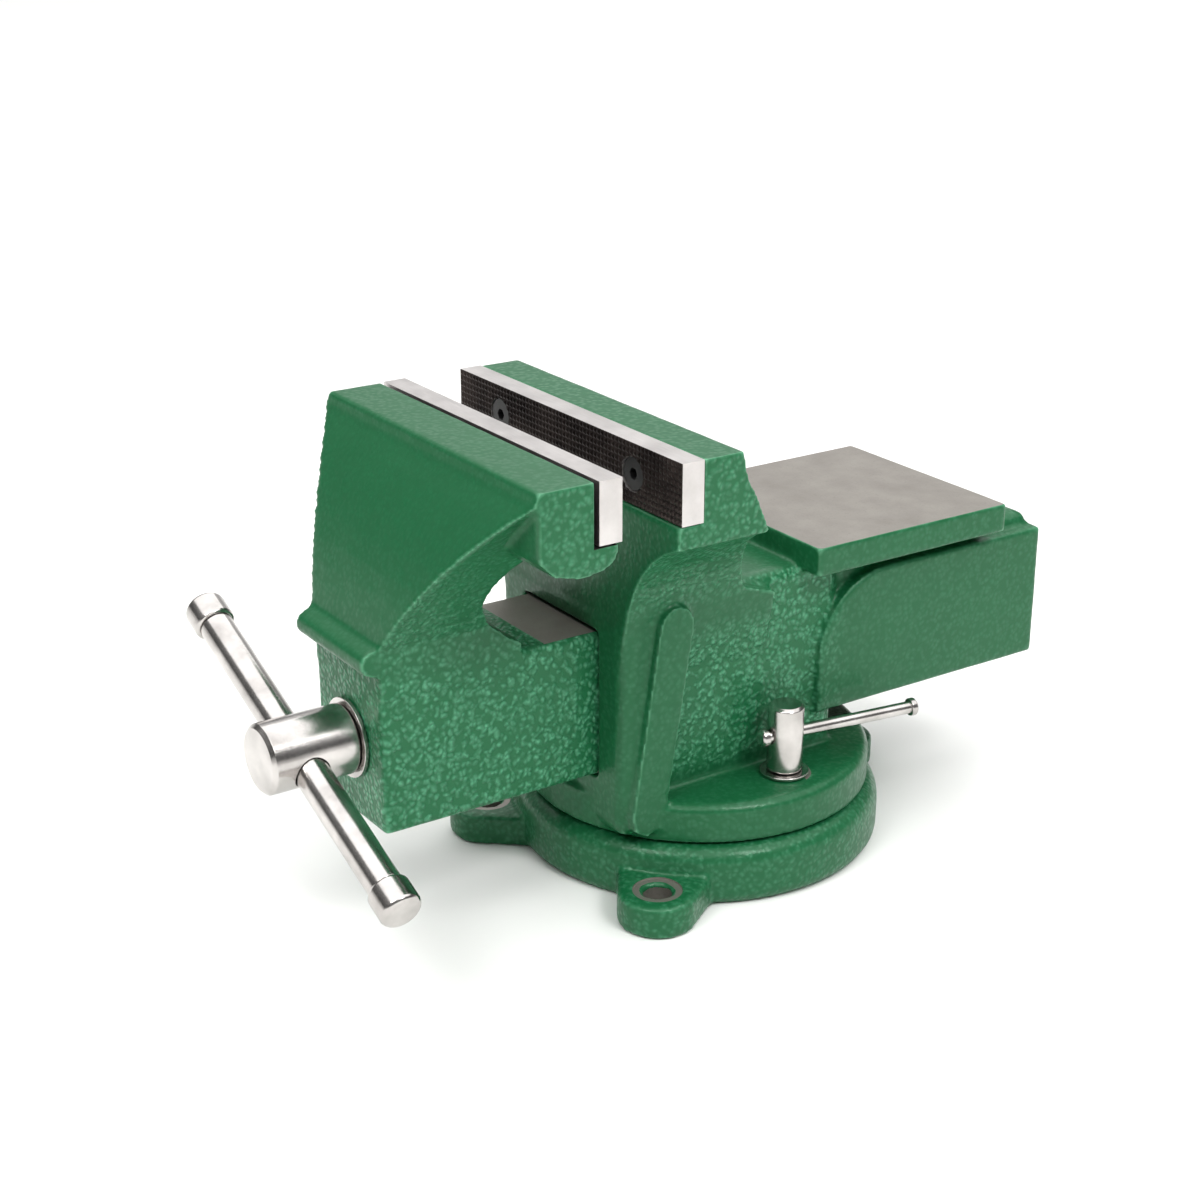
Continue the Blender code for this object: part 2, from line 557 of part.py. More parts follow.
def make_handle(parent):
    """Tommy bar with a cap pressed on each end."""
    half = HANDLE_LENGTH / 2
    spigot_r, spigot = HANDLE_R - 0.0012, CAP_LENGTH * 0.7
    profile = [(0, -half + CAP_LENGTH - spigot), (spigot_r, -half + CAP_LENGTH - spigot),
               (spigot_r, -half + CAP_LENGTH), (HANDLE_R, -half + CAP_LENGTH), (HANDLE_R, half - CAP_LENGTH),
               (spigot_r, half - CAP_LENGTH), (spigot_r, half - CAP_LENGTH + spigot),
               (0, half - CAP_LENGTH + spigot)]
    rod = apply_placement(turned("handle_bar", profile, segments=24), handle_frame())
    finish(rod, parent, "bright_steel", STEEL)
    crown = 0.0022
    cap = [(0, CAP_LENGTH), (CAP_R - crown, CAP_LENGTH), (CAP_R - 0.0006, CAP_LENGTH - crown * 0.4),
           (CAP_R, CAP_LENGTH - crown), (CAP_R, 0.0008 + GAP), (CAP_R - 0.0008, GAP), (spigot_r + GAP, GAP),
           (spigot_r + GAP, spigot + GAP), (0, spigot + GAP)]
    end = Matrix.Translation((0, 0, half - CAP_LENGTH))
    for name, face in (("handle_cap_right", 1), ("handle_cap_left", -1)):
        piece = turned(name, cap, segments=24)
        apply_placement(piece, handle_frame() @ half_turn(face) @ end)
        finish(piece, parent, "bright_steel", STEEL)


def coil(name, radius, wire, low, high, turns):
    """A spring of round wire along +Z: a tube swept along its helix."""
    line = bpy.data.curves.new(name, "CURVE")
    line.dimensions = "3D"
    line.bevel_depth, line.bevel_resolution, line.use_fill_caps = wire, 1, True
    count = int(turns * 14)
    spline = line.splines.new("POLY")
    spline.points.add(count)
    for k in range(count + 1):
        turn = math.tau * turns * k / count
        point = Vector((radius * math.cos(turn), radius * math.sin(turn), low + (high - low) * k / count))
        spline.points[k].co = (*(along_y() @ point), 1)
    obj = bpy.data.objects.new(name, line)
    bpy.context.scene.collection.objects.link(obj)
    return obj


def make_screw_retainers(parent):
    """Washers, spring, collar and pin that keep the screw in the jaw."""
    wall_back = NOSE_Y + BEAM_FRONT_WALL
    washer = turned("thrust_washer", ring(SHANK_R + GAP, 0.0152, -0.0019, -GAP), closed=True)
    finish(apply_placement(washer, along_y(NOSE_Y)), parent, "bright_steel", STEEL)
    seat = turned("spring_seat_washer", ring(SHANK_R + GAP, RETAINER_R, GAP, 0.0018), closed=True)
    finish(apply_placement(seat, along_y(wall_back)), parent, "bright_steel", STEEL)
    start, end = collar_span()
    wire = 0.0012
    spring = coil("thrust_spring", 0.0106, wire, wall_back + 0.0021 + wire, start - GAP - wire, 4.5)
    finish(spring, parent, "black_oxide_steel", BLACK_STEEL)
    collar = turned("retaining_collar", ring(SHANK_R + GAP, RETAINER_R, start, end), closed=True)
    apply_placement(collar, along_y())
    pin_hole = turned("collar_pin_hole", bar(COLLAR_PIN_R + GAP, -0.02, 0.02), segments=12)
    cut(collar, apply_placement(pin_hole, pin_frame()))
    finish(collar, parent, "bright_steel", STEEL)
    reach = RETAINER_R - 0.0004
    pin = turned("collar_pin", bar(COLLAR_PIN_R, -reach, reach, 0.0004), segments=12)
    finish(apply_placement(pin, pin_frame()), parent, "black_oxide_steel", BLACK_STEEL)


def make_main_nut(parent):
    """Nut block inside the beam, with its foot on the body's floor, and the bolt that holds it."""
    half = CHANNEL_HALF - NUT_SIDE_CLEARANCE
    top, tip = SCREW_AXIS_Z + THREAD_R + 0.0055, FLOOR_Z + NUT_BOLT_GRIP
    nut = box("main_nut", (-half, NUT_FRONT, FLOOR_Z + GAP), (half, NUT_FRONT + NUT_LENGTH, top), 0.0020)
    bore = bar(THREAD_R + 0.0004, NUT_FRONT - 0.01, NUT_FRONT + NUT_LENGTH + 0.01)
    cut(nut, apply_placement(turned("nut_bore", bore, segments=32), along_y()))
    bolt_place = Matrix.Translation((0, NUT_BOLT_Y, 0))
    thread = turned("nut_thread_hole", bar(NUT_BOLT_R + GAP, FLOOR_Z - 0.007, tip + 0.0005), segments=24)
    cut(nut, apply_placement(thread, bolt_place))
    finish(nut, parent, "cast_bronze", BRONZE)
    head_top = NUT_BOLT_SEAT - GAP
    head_low = head_top - NUT_BOLT_HEAD_HEIGHT
    profile = [(0, head_low), (NUT_BOLT_HEAD_R, head_low), (NUT_BOLT_HEAD_R, head_top),
               (NUT_BOLT_R, head_top),
               (NUT_BOLT_R, tip - 0.0005), (NUT_BOLT_R - 0.0005, tip), (0, tip)]
    bolt = turned("main_nut_bolt", profile, segments=24)
    socket = turned("nut_bolt_socket", bar(0.0043, head_low - 0.005, head_low + 0.0047), segments=6)
    cut(apply_placement(bolt, bolt_place), apply_placement(socket, bolt_place))
    finish(bolt, parent, "black_oxide_steel", BLACK_STEEL)


# Swivel locks


def make_lock_stud(parent, side, hand):
    """Tee bolt in the base's slot and the washer on top of the foot."""
    place = Matrix.Translation((side * LOCK_X, LOCK_Y, 0))
    head_top = BASE_HEIGHT - TEE_SLOT_LIP - GAP
    width, length, height = TEE_HEAD
    bolt = box(f"lock_bolt_{hand}", (-width / 2, -length / 2, head_top - height),
               (width / 2, length / 2, head_top), 0.0006, 1)
    shank_line = bar(LOCK_STUD_R, head_top - height / 2, LOCK_BAR_Z - LOCK_BAR_R - 0.004, 0.0006)
    shank = turned(f"lock_shank_{hand}", shank_line, segments=24)
    join(bolt, shank)
    apply_placement(bolt, place)
    apply_placement(shank, place)
    finish(bolt, parent, "bright_steel", STEEL)
    section = ring(LOCK_STUD_R + GAP, 0.0098, FOOT_TOP + GAP, FOOT_TOP + 0.0015)
    washer = turned(f"lock_washer_{hand}", section, closed=True)
    finish(apply_placement(washer, place), parent, "bright_steel", STEEL)


def bar_frame(side):
    """Takes a bar on +Z to the lock bar's line: backwards and a little outwards."""
    outwards = Matrix.Rotation(-side * LOCK_BAR_ANGLE, 4, "Z")
    level = Matrix.Rotation(-math.pi / 2, 4, "X")
    return Matrix.Translation((side * LOCK_X, LOCK_Y, LOCK_BAR_Z)) @ outwards @ level


def make_lock_nut(parent, side, hand):
    """Long round nut that clamps the foot, cross-drilled for its bar."""
    low = FOOT_TOP + 0.0018
    high = low + LOCK_HEAD_HEIGHT
    rim = 0.0012
    profile = [(0, low), (LOCK_HEAD_R - 0.0006, low), (LOCK_HEAD_R, low + 0.0006), (LOCK_HEAD_R, high - rim),
               (LOCK_HEAD_R - rim, high), (0, high)]
    nut = turned(f"lock_nut_{hand}", profile, segments=32)
    place = Matrix.Translation((side * LOCK_X, LOCK_Y, 0))
    apply_placement(nut, place)
    thread_line = bar(LOCK_STUD_R + GAP, low - 0.004, LOCK_BAR_Z - LOCK_BAR_R - 0.003)
    thread = turned(f"lock_thread_{hand}", thread_line, segments=24)
    cut(nut, apply_placement(thread, place))
    cross = turned(f"lock_cross_{hand}", bar(LOCK_BAR_R + GAP, -0.02, 0.02), segments=16)
    cut(nut, apply_placement(cross, bar_frame(side)))
    finish(nut, parent, "bright_steel", STEEL)


def make_lock_bar(parent, side, hand):
    """Bar with one knob turned on its outer end and one pressed on its inner end."""
    inner = -LOCK_HEAD_R - 0.0005
    tip = LOCK_BAR_REACH
    spigot_r = LOCK_BAR_R - 0.0006
    profile = [(0, inner - LOCK_KNOB_LENGTH + 0.0012), (spigot_r, inner - LOCK_KNOB_LENGTH + 0.0012),
               (spigot_r, inner - GAP), (LOCK_BAR_R, inner - GAP), (LOCK_BAR_R, tip - LOCK_KNOB_LENGTH),
               (LOCK_KNOB_R - 0.0004, tip - LOCK_KNOB_LENGTH), (LOCK_KNOB_R, tip - LOCK_KNOB_LENGTH + 0.0004),
               (LOCK_KNOB_R, tip - 0.0009), (LOCK_KNOB_R - 0.0009, tip), (0, tip)]
    rod = apply_placement(turned(f"lock_bar_{hand}", profile, segments=16), bar_frame(side))
    finish(rod, parent, "bright_steel", STEEL)
    back, blind = inner - 2 * GAP, inner - LOCK_KNOB_LENGTH + 0.0012 - GAP
    cap = [(0, back - LOCK_KNOB_LENGTH), (LOCK_KNOB_R - 0.0009, back - LOCK_KNOB_LENGTH),
           (LOCK_KNOB_R, back - LOCK_KNOB_LENGTH + 0.0009), (LOCK_KNOB_R, back), (spigot_r + GAP, back),
           (spigot_r + GAP, blind), (0, blind)]
    knob = apply_placement(turned(f"lock_bar_cap_{hand}", cap, segments=16), bar_frame(side))
    finish(knob, parent, "bright_steel", STEEL)


def main():
    clear_scene()
    base = body("base_body", (0, 0, 0))
    vise = body("vise_body", (0, 0, FOOT_BOTTOM), base)
    carriage = body("jaw_body", (0, MOVING_FACE_Y, BEAM_TOP), vise)
    spindle = body("screw_body", (0, NOSE_Y, SCREW_AXIS_Z), carriage)
    handle = body("handle_body", (0, HANDLE_Y, SCREW_AXIS_Z), spindle)
    make_swivel_base(base)
    make_fixed_jaw(vise)
    make_plate("fixed_jaw_plate", vise, FIXED_SEAT_Y, -1)
    make_moving_jaw(carriage)
    make_plate("moving_jaw_plate", carriage, MOVING_SEAT_Y, 1)
    for side, hand in ((-1, "left"), (1, "right")):
        make_plate_screw(f"fixed_plate_screw_{hand}", vise, FIXED_SEAT_Y, -1, side)
        make_plate_screw(f"moving_plate_screw_{hand}", carriage, MOVING_SEAT_Y, 1, side)
        make_lock_stud(vise, side, hand)
        lock = body(f"lock_body_{hand}", (side * LOCK_X, LOCK_Y, LOCK_BAR_Z), vise)
        make_lock_nut(lock, side, hand)
        make_lock_bar(body(f"lock_bar_body_{hand}", (side * LOCK_X, LOCK_Y, LOCK_BAR_Z), lock), side, hand)
    make_main_nut(vise)
    make_main_screw(spindle)
    make_screw_retainers(spindle)
    make_handle(handle)


main()
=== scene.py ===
"""Looks of a swivel bench vise: hammered enamel over cast iron, bare machined faces, ground jaw plates and
bright plated fittings, built round the vise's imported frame."""

import math

import bmesh
import bpy
import numpy as np
from bpy.props import FloatProperty, FloatVectorProperty, IntProperty, PointerProperty, StringProperty
from mathutils import Matrix, Vector


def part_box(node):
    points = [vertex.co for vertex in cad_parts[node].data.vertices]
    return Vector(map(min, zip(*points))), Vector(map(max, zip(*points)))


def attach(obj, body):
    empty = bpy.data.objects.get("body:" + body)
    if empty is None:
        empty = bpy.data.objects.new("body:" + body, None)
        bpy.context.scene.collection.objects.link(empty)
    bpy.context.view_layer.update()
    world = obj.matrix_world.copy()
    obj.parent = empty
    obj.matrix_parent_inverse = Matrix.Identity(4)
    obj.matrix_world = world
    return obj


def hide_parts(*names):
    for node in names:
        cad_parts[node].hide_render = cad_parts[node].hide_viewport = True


bl_info = {
    "name": "Swivel Bench Vise",
    "version": (1, 0, 0),
    "blender": (4, 5, 0),
    "location": "View3D > Sidebar > Bench Vise",
    "description": "Builds the cast, machined and plated pieces of a swivel bench vise round its frame",
    "category": "Object",
}

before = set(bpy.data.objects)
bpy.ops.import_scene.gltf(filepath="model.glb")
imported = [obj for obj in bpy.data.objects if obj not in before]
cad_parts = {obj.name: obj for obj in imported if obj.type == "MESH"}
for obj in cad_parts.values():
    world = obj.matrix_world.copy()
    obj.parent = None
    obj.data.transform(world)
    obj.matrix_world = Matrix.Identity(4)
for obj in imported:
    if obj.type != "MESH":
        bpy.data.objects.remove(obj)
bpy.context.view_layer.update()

MM = 0.001

# Sizes that the frame's boxes don't tell. The slide and the moving jaw:
BEAM_HALF = 25.0 * MM
BEAM_BOTTOM = 47.5 * MM
BEAM_TOP = 106.7 * MM
SLIDE_CLEARANCE = 0.4 * MM
PAINT_EDGE_Y = -64.5 * MM  # the slide is bare behind this
THROAT_Y = -88.0 * MM  # its top is bare from here
PLANED = 0.25 * MM  # what the planer takes off it
FRONT_WALL = 23.0 * MM  # the wall that the screw goes through
SCREW_HOLE_R = 9.6 * MM

# The main screw:
SCREW_Z = 78.0 * MM
THREAD_START_Y = -106.0 * MM
THREAD_LEAD = 5.0 * MM
THREAD_R = 9.0 * MM
THREAD_ROOT_R = 6.9 * MM

# The base's lugs:
LUG_ANGLES = [math.radians(degrees) for degrees in (-118.2, -45.8, 98.0)]
LUG_CENTRE_R = 86.0 * MM
LUG_HOLE_R = 5.5 * MM
LUG_SEAT_R = 9.5 * MM
LUG_TOP = 13.0 * MM

# The fixed jaw, from its foot up:
FOOT_BOTTOM = 24.3 * MM
FOOT_TOP = 40.5 * MM
SPIGOT_R = 14.4 * MM
SPIGOT_SEAT_TOP = 34.6 * MM
STUD_X = 51.0 * MM
STUD_Y = 5.0 * MM
STUD_HOLE_R = 5.4 * MM
STUD_SEAT_R = 10.6 * MM
STUD_ROOM_TOP = 50.0 * MM
TUNNEL_END_WALL = 8.0 * MM
ANVIL_TOP = 129.5 * MM
GRIP_R = 3.6 * MM  # the plate screws' holes
GRIP_DEPTH = 14.5 * MM

# The plates' countersinks:
SINK_R = 6.5 * MM
SINK_HOLE_R = 3.5 * MM

TURNED_FACETS = 48  # round whatever is turned here
OVERSHOOT = 10.0 * MM  # how far a cutter stands out past the metal that it takes off

FLOOR_HALF = 4.8
FLOOR_DROP = 0.2 * MM  # keeps the floor's face off the base's


def linear(hex_colour):
    """An sRGB hex colour as linear RGBA."""
    channels = [int(hex_colour[k:k + 2], 16) / 255 for k in (1, 3, 5)]
    return (*(c / 12.92 if c <= 0.04045 else ((c + 0.055) / 1.055) ** 2.4 for c in channels), 1.0)


class ViseSettings(bpy.types.PropertyGroup):
    """Sizes and colours that a user would change."""

    enamel_hex: StringProperty(
        name="Enamel", default="#0C5630", description="Colour of the enamel on the castings")
    enamel_dark_hex: StringProperty(
        name="Enamel in valleys", default="#14623A",
        description="Colour where the hammered enamel lies thick")
    enamel_light_hex: StringProperty(
        name="Enamel on crowns", default="#60AF87", description="Colour where the aluminium flake shows")
    hammer_cell: FloatProperty(
        name="Hammer cell", default=2.1 * MM, unit="LENGTH",
        description="Width of one pool of the hammered enamel")
    cast_detail: FloatProperty(
        name="Casting detail", default=1.1 * MM, unit="LENGTH",
        description="Smallest facet of a casting's skin")
    fillet_passes: IntProperty(
        name="Fillet", default=5, description="How far the castings' corners are rounded")
    serration_pitch: FloatProperty(
        name="Serration pitch", default=2.3 * MM, unit="LENGTH",
        description="Spacing of the points on a jaw plate")
    serration_depth: FloatProperty(
        name="Serration depth", default=0.6 * MM, unit="LENGTH",
        description="Depth of the grooves on a jaw plate")
    floor_colour: FloatVectorProperty(
        name="Floor", default=linear("#F4F4F2"), size=4, subtype="COLOR",
        description="Colour of the studio floor")


def settings():
    """The scene's vise settings."""
    return bpy.context.scene.vise


# Materials


def add_node(material, kind, inputs=None, **options):
    """Adds a node with its options. An input is a plain value or another node's output socket."""
    node = material.node_tree.nodes.new(kind)
    for name, value in options.items():
        setattr(node, name, value)
    for key, value in (inputs or {}).items():
        if isinstance(value, bpy.types.NodeSocket):
            material.node_tree.links.new(value, node.inputs[key])
        else:
            node.inputs[key].default_value = value
    return node


def new_material(name):
    """An empty material, or the one already made."""
    found = bpy.data.materials.get(name)
    if found:
        return found, False
    made = bpy.data.materials.new(name)
    made.use_nodes = True
    made.node_tree.nodes.clear()
    return made, True


def shade(material, inputs):
    """Closes a material with its Principled BSDF."""
    shader = add_node(material, "ShaderNodeBsdfPrincipled", inputs)
    add_node(material, "ShaderNodeOutputMaterial", {"Surface": shader.outputs[0]})
    return material


def blend_colours(material, factor, first, second):
    """The output that goes from the first colour to the second."""
    mix = add_node(material, "ShaderNodeMix", data_type="RGBA")
    for key, value in ((0, factor), (6, first), (7, second)):
        if isinstance(value, bpy.types.NodeSocket):
            material.node_tree.links.new(value, mix.inputs[key])
        else:
            mix.inputs[key].default_value = value
    return mix.outputs[2]


def hammered_enamel():
    """Hammered enamel on cast iron: silicone draws the wet paint into cells about 2 mm wide, whose crowns
    show the aluminium flake, with darker valleys between them. The convex corners are painted paler, a
    painted highlight along the edges. The casting's "hammer" value says how strongly a stretch of skin is
    hammered, since brushed-out faces dry almost smooth."""
    material, new = new_material("hammered_enamel_on_cast_iron")
    if not new:
        return material
    colours = settings()
    cell = colours.hammer_cell
    middle, dark = linear(colours.enamel_hex), linear(colours.enamel_dark_hex)
    place = add_node(material, "ShaderNodeTexCoord").outputs["Object"]
    amount = add_node(material, "ShaderNodeAttribute", attribute_name="hammer").outputs["Fac"]

    # The cells' outlines wander, because the paint draws up unevenly.
    wander = add_node(material, "ShaderNodeTexNoise",
                      {"Vector": place, "Scale": 0.45 / cell, "Detail": 2.0})
    offset = add_node(material, "ShaderNodeVectorMath",
                      {0: wander.outputs["Color"], 1: (0.5, 0.5, 0.5)}, operation="SUBTRACT")
    shift = add_node(material, "ShaderNodeVectorMath",
                     {0: offset.outputs[0], "Scale": 1.3 * cell}, operation="SCALE")
    bent = add_node(material, "ShaderNodeVectorMath", {0: place, 1: shift.outputs[0]}).outputs[0]
    cells = add_node(material, "ShaderNodeTexVoronoi",
                     {"Vector": bent, "Scale": 1 / cell, "Smoothness": 0.45}, feature="SMOOTH_F1")
    pool = add_node(material, "ShaderNodeMapRange",
                    {"Value": cells.outputs["Distance"], "From Min": 0.62, "From Max": 0.16}).outputs[0]

    # Darker valleys, then flake on the crowns, which sparkles more in one cell than in the next.
    valley = add_node(material, "ShaderNodeMath", {0: 1.0, 1: pool}, operation="SUBTRACT").outputs[0]
    thick = add_node(material, "ShaderNodeMath", {0: valley, 1: amount}, operation="MULTIPLY").outputs[0]
    body = blend_colours(material, thick, middle, dark)
    sparkle = add_node(material, "ShaderNodeTexNoise",
                       {"Vector": place, "Scale": 0.8 / cell, "Detail": 1.0})
    lit = add_node(material, "ShaderNodeMapRange",
                   {"Value": sparkle.outputs["Fac"], "From Min": 0.38, "From Max": 0.62,
                    "To Min": 0.45, "To Max": 0.82})
    flake = add_node(material, "ShaderNodeMath", {0: pool, 1: amount}, operation="MULTIPLY").outputs[0]
    bright = add_node(material, "ShaderNodeMath",
                      {0: flake, 1: lit.outputs[0]}, operation="MULTIPLY").outputs[0]
    mottled = blend_colours(material, bright, body, linear(colours.enamel_light_hex))

    # Broad clouds of tone, and a painted highlight on the convex corners.
    cloud = add_node(material, "ShaderNodeTexNoise",
                     {"Vector": place, "Scale": 1 / (26 * MM), "Detail": 3.0})
    tone = add_node(material, "ShaderNodeMapRange",
                    {"Value": cloud.outputs["Fac"], "From Min": 0.35, "From Max": 0.75, "To Max": 0.25})
    shaded = blend_colours(material, tone.outputs[0], mottled, dark)
    bend = add_node(material, "ShaderNodeNewGeometry").outputs["Pointiness"]
    edge_highlight = add_node(material, "ShaderNodeMapRange",
                      {"Value": bend, "From Min": 0.525, "From Max": 0.60, "To Max": 0.75})
    # The pale #79BF98 on the convex edges is a painted highlight, not a property of the paint.
    skin = blend_colours(material, edge_highlight.outputs[0], shaded, linear("#79BF98"))

    # Crowns are glossier than valleys, over a faint orange peel.
    gloss = add_node(material, "ShaderNodeMapRange", {"Value": pool, "To Min": 0.44, "To Max": 0.30})
    orange_peel = add_node(material, "ShaderNodeTexNoise",
                           {"Vector": place, "Scale": 1 / (4 * MM), "Detail": 2.0})
    peel = add_node(material, "ShaderNodeBump",
                    {"Strength": 0.22, "Distance": 0.25 * MM, "Height": orange_peel.outputs["Fac"]})
    dimples = add_node(material, "ShaderNodeBump",
                       {"Distance": 0.45 * MM, "Height": pool, "Strength": amount,
                        "Normal": peel.outputs[0]})
    return shade(material, {"Base Color": skin, "Metallic": 0.10, "Roughness": gloss.outputs[0],
                            "Normal": dimples.outputs[0], "Specular IOR Level": 0.3,
                            "Coat Weight": 0.12, "Coat Roughness": 0.15})


def machined_iron():
    """Bare grey cast iron, face-milled: warm grey with the cutter's fine parallel lines, duller where it has
    been handled. The lines are drawn at 0.9 mm, several times coarser than the real feed, so that they
    show."""
    material, new = new_material("milled_grey_cast_iron")
    if not new:
        return material
    place = add_node(material, "ShaderNodeTexCoord").outputs["Object"]
    cut = 0.9 * MM
    wave_scale = math.tau / 20 / cut  # at a scale of 1 the wave repeats every tau / 20
    lines = add_node(material, "ShaderNodeTexWave",
                     {"Vector": place, "Scale": wave_scale, "Distortion": 0.6, "Detail": 1.0},
                     bands_direction="Y")
    stains = add_node(material, "ShaderNodeTexNoise",
                      {"Vector": place, "Scale": 1 / (16 * MM), "Detail": 5.0})
    grain = add_node(material, "ShaderNodeTexNoise",
                     {"Vector": place, "Scale": 1 / (1.1 * MM), "Detail": 2.0})
    worn = add_node(material, "ShaderNodeMapRange",
                    {"Value": stains.outputs["Fac"], "From Min": 0.2, "From Max": 0.85})
    base = blend_colours(material, worn.outputs[0], linear("#99948D"), linear("#827D77"))
    speck = add_node(material, "ShaderNodeMapRange",
                     {"Value": grain.outputs["Fac"], "From Min": 0.55, "From Max": 0.8, "To Max": 0.35})
    graphite = blend_colours(material, speck.outputs[0], base, linear("#6E6964"))
    gloss = add_node(material, "ShaderNodeMapRange",
                     {"Value": worn.outputs[0], "To Min": 0.44, "To Max": 0.52})
    relief = add_node(material, "ShaderNodeBump",
                      {"Strength": 0.25, "Distance": 0.05 * MM, "Height": lines.outputs["Fac"]})
    return shade(material, {"Base Color": graphite, "Metallic": 0.72, "Roughness": gloss.outputs[0],
                            "Normal": relief.outputs[0]})


def bright_metal(name, light, shadow, roughness, grain_mm, stretch=(1.0, 1.0, 1.0)):
    """A metal whose tone and gloss drift a little, with the scratches of its last finishing. They are drawn
    at 0.7 to 1.6 mm, many times coarser than real ones, so that they show."""
    material, new = new_material(name)
    if not new:
        return material
    place = add_node(material, "ShaderNodeTexCoord").outputs["Object"]
    laid = add_node(material, "ShaderNodeMapping", {"Vector": place, "Scale": stretch}).outputs[0]
    scratch = add_node(material, "ShaderNodeTexNoise",
                       {"Vector": laid, "Scale": 1 / (grain_mm * MM), "Detail": 3.0})
    cloud = add_node(material, "ShaderNodeTexNoise",
                     {"Vector": place, "Scale": 1 / (14 * MM), "Detail": 3.0})
    drift = add_node(material, "ShaderNodeMapRange",
                     {"Value": cloud.outputs["Fac"], "From Min": 0.35, "From Max": 0.7})
    base = blend_colours(material, drift.outputs[0], linear(light), linear(shadow))
    gloss = add_node(material, "ShaderNodeMapRange",
                     {"Value": scratch.outputs["Fac"], "From Min": 0.3, "From Max": 0.7,
                      "To Min": roughness * 0.8, "To Max": roughness * 1.3})
    relief = add_node(material, "ShaderNodeBump",
                      {"Strength": 0.08, "Distance": 0.02 * MM, "Height": scratch.outputs["Fac"]})
    return shade(material, {"Base Color": base, "Metallic": 1.0, "Roughness": gloss.outputs[0],
                            "Normal": relief.outputs[0]})


def plated_steel():
    """Turned steel under bright nickel: a clean, slightly warm mirror broken by fine turning marks."""
    return bright_metal("nickel_plated_steel", "#CFCBC8", "#A9A5A2", 0.20, 0.7)


def ground_steel():
    """Hardened tool steel, surface ground: pale, with a satin grain drawn along the plate."""
    return bright_metal("ground_tool_steel", "#D4D0CE", "#C0BCBA", 0.38, 0.9, (0.12, 1.0, 1.0))


def oiled_steel():
    """Cut thread, wiped with oil: darker steel with a wet gloss."""
    return bright_metal("oiled_machined_steel", "#A9A49D", "#7F7A74", 0.24, 0.8)


def shaded_serration_steel():
    """The plates' serrated faces: a brown-black with a dull gloss, painted as the shade that falls between
    the jaws.
    """
    return bright_metal("serration_painted_shade", "#4A423F", "#2E2928", 0.46, 1.2)


def shadow_gap():
    """Raw cast iron in the relief behind a plate, coloured near-black as a painted shadow of the gap: a
    dull, mottled painted shade.
    """
    material, new = new_material("painted_shadow_behind_plate")
    if not new:
        return material
    place = add_node(material, "ShaderNodeTexCoord").outputs["Object"]
    shadow_mottle = add_node(material, "ShaderNodeTexNoise",
                     {"Vector": place, "Scale": 1 / (5 * MM), "Detail": 4.0})
    base = blend_colours(material, shadow_mottle.outputs["Fac"], linear("#24201E"), linear("#3A3532"))
    return shade(material, {"Base Color": base, "Metallic": 0.4, "Roughness": 0.6})


def black_steel():
    """Black-oxide fasteners: a charcoal skin with a low oily sheen."""
    return bright_metal("black_oxide_steel", "#3B3837", "#242222", 0.42, 0.9)


def cast_bronze():
    """Sand-cast bronze nut: brown-gold, matt and faintly rough."""
    return bright_metal("sand_cast_bronze", "#A27C46", "#6F522C", 0.46, 1.6)


# Mesh work


def link(obj):
    """Puts the object in the scene."""
    bpy.context.scene.collection.objects.link(obj)
    return obj


def apply_modifiers(obj):
    """Turns the object's modifiers into its mesh."""
    graph = bpy.context.evaluated_depsgraph_get()
    graph.update()
    mesh = bpy.data.meshes.new_from_object(obj.evaluated_get(graph))
    old = obj.data
    obj.modifiers.clear()
    obj.data = mesh
    mesh.name = obj.name
    bpy.data.meshes.remove(old)
    return obj


def shade_round(obj, angle):
    """Smooth shading, with the edges sharper than the angle kept crisp."""
    obj.data.shade_smooth()
    obj.data.set_sharp_from_angle(angle=math.radians(angle))
    return obj


def from_bmesh(name, shape, materials):
    """A linked piece from a shape, which is freed."""
    bmesh.ops.recalc_face_normals(shape, faces=shape.faces)
    mesh = bpy.data.meshes.new(name)
    shape.to_mesh(mesh)
    shape.free()
    for material in materials:
        mesh.materials.append(material)
    return link(bpy.data.objects.new(name, mesh))


def copy_of(node, name):
    """A welded copy of a node's mesh as a new piece."""
    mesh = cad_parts[node].data.copy()
    mesh.materials.clear()
    mesh.name = name
    shape = bmesh.new()
    shape.from_mesh(mesh)
    bmesh.ops.remove_doubles(shape, verts=shape.verts, dist=2e-6)
    bmesh.ops.dissolve_limit(shape, angle_limit=math.radians(0.3), verts=shape.verts, edges=shape.edges)
    shape.to_mesh(mesh)
    shape.free()
    return link(bpy.data.objects.new(name, mesh))


def block(name, low, high, material):
    """A plain box that cuts a face or a pocket, from any two opposite corners."""
    shape = bmesh.new()
    low, high = (Vector([pick(pair) for pair in zip(low, high)]) for pick in (min, max))
    place = Matrix.Translation((low + high) / 2) @ Matrix.Diagonal((*(high - low), 1))
    bmesh.ops.create_cube(shape, size=1.0, matrix=place)
    return from_bmesh(name, shape, [material])


def turned(name, profile, material, place=None):
    """The (radius, height) profile turned about +Z and then placed."""
    shape = bmesh.new()
    points = [shape.verts.new((r, 0, h)) for r, h in profile]
    edges = [shape.edges.new(pair) for pair in zip(points, points[1:])]
    bmesh.ops.spin(
        shape, geom=points + edges, cent=(0, 0, 0), axis=(0, 0, 1), angle=math.tau, steps=TURNED_FACETS)
    bmesh.ops.remove_doubles(shape, verts=shape.verts, dist=1e-6)
    obj = from_bmesh(name, shape, [material])
    if place:
        obj.data.transform(place)
    return obj


def round_bar(radius, low, high, chamfer=0.0):
    """The profile of a bar on its axis, for turned."""
    if not chamfer:
        return [(0, low), (radius, low), (radius, high), (0, high)]
    return [(0, low), (radius - chamfer, low), (radius, low + chamfer),
            (radius, high - chamfer), (radius - chamfer, high), (0, high)]


def along_y(x=0.0, y=0.0, z=SCREW_Z):
    """Lays what was made on +Z along +Y, with its origin at (x, y, z)."""
    return Matrix.Translation((x, y, z)) @ Matrix.Rotation(math.radians(-90), 4, "X")


